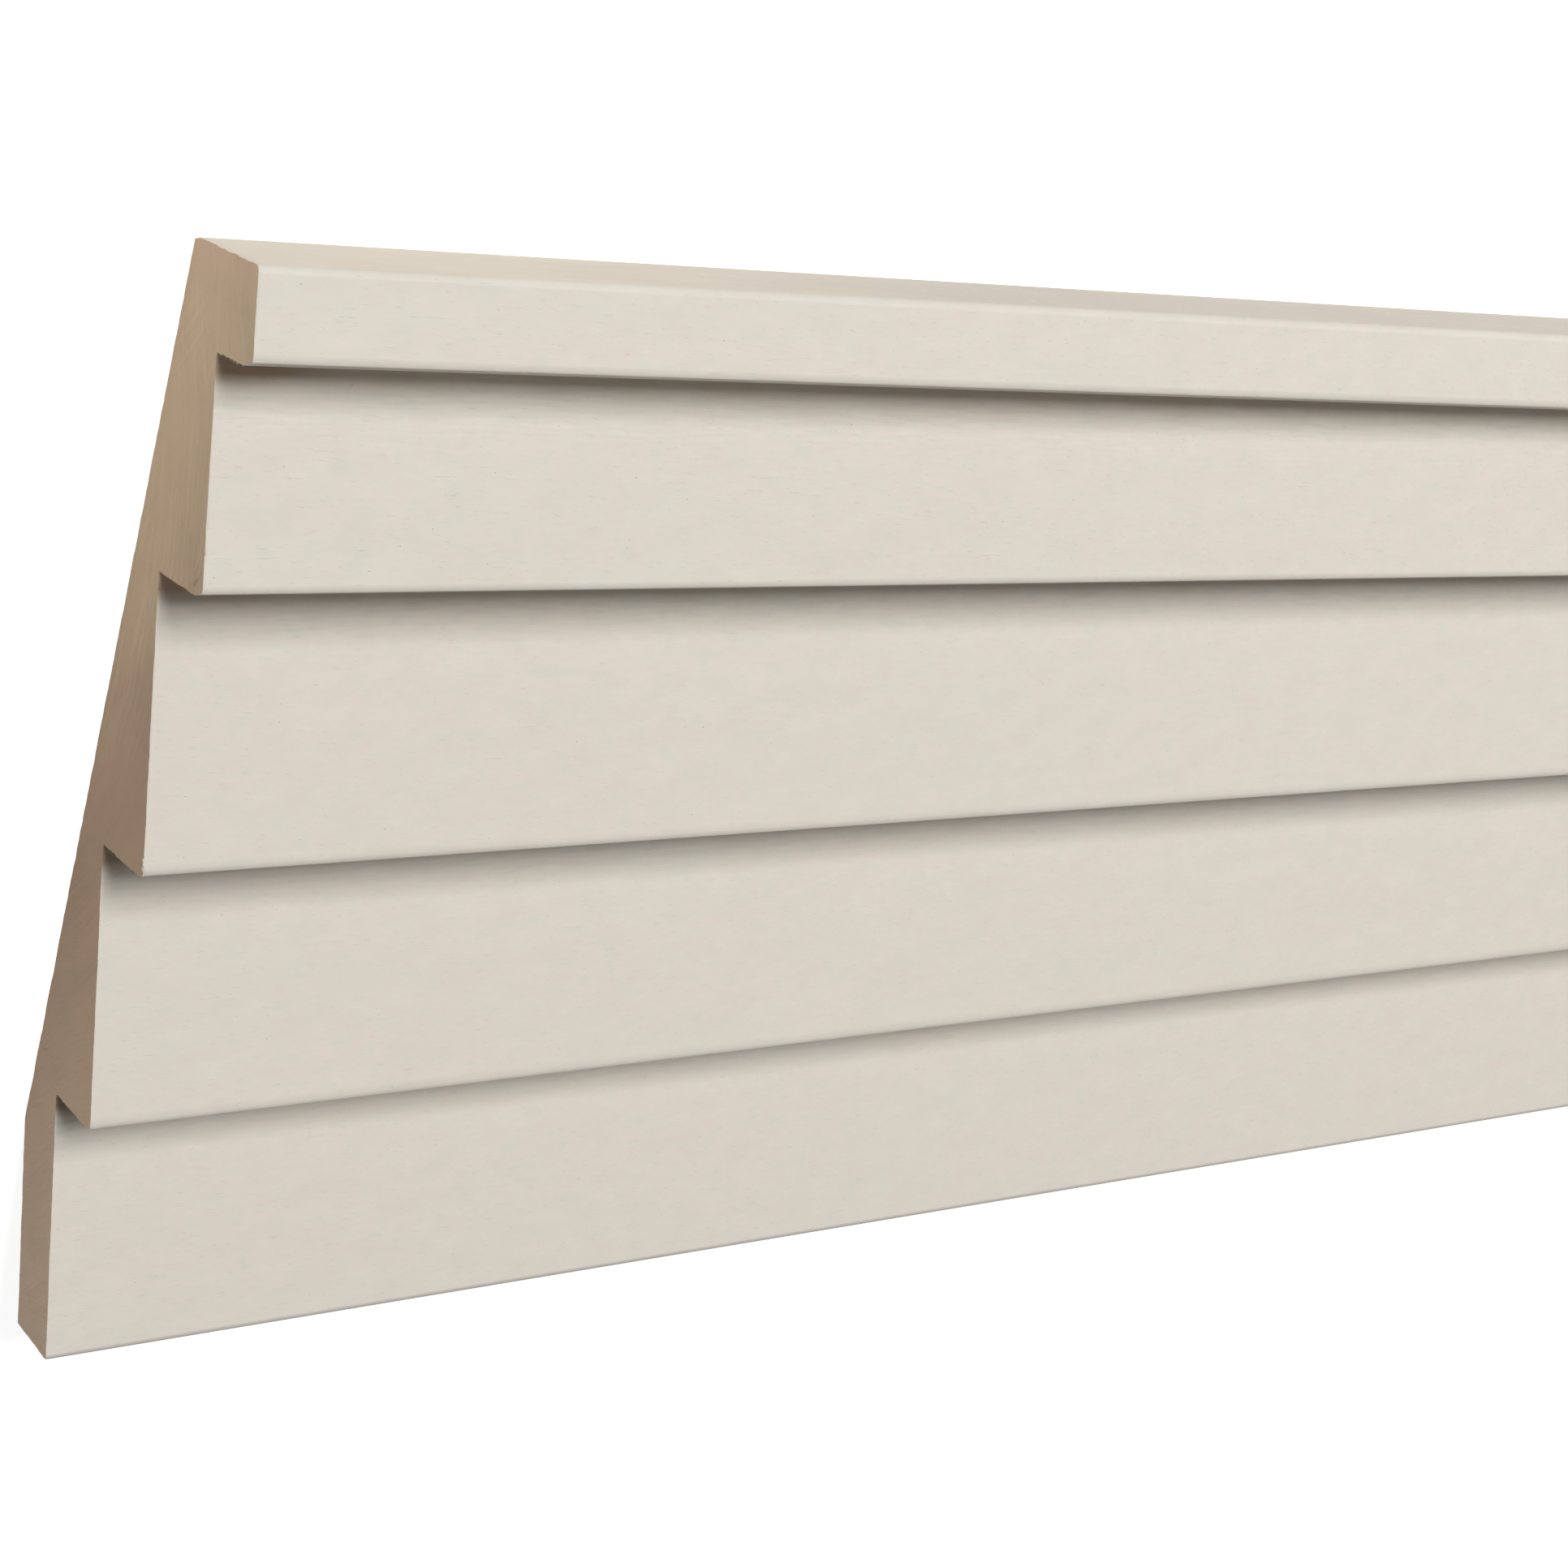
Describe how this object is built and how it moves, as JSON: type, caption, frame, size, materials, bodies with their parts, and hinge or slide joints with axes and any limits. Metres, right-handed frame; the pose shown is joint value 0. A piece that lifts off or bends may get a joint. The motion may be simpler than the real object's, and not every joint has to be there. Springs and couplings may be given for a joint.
{
  "type": "cornice moulding",
  "caption": "Stepped wooden cornice moulding stock with flat square-edged fascias, a sloping back and square bearing faces for wall and ceiling.",
  "frame": {"origin": "middle of the moulding's length and width, at the underside of its sloping back, which lies on the floor", "axes": "+X along the length, +Y across the back from the wall foot towards the ceiling cap, +Z out of the back towards the stepped fascias"},
  "size_m": [2.4384, 0.1334, 0.0168],
  "materials": {
    "primed_wood": "off-white primer on the fascias, bare sawn wood on the ends, back and ceiling face"
  },
  "bodies": {
    "root": {"cornice_moulding": "primed_wood"}
  },
  "joints": []
}
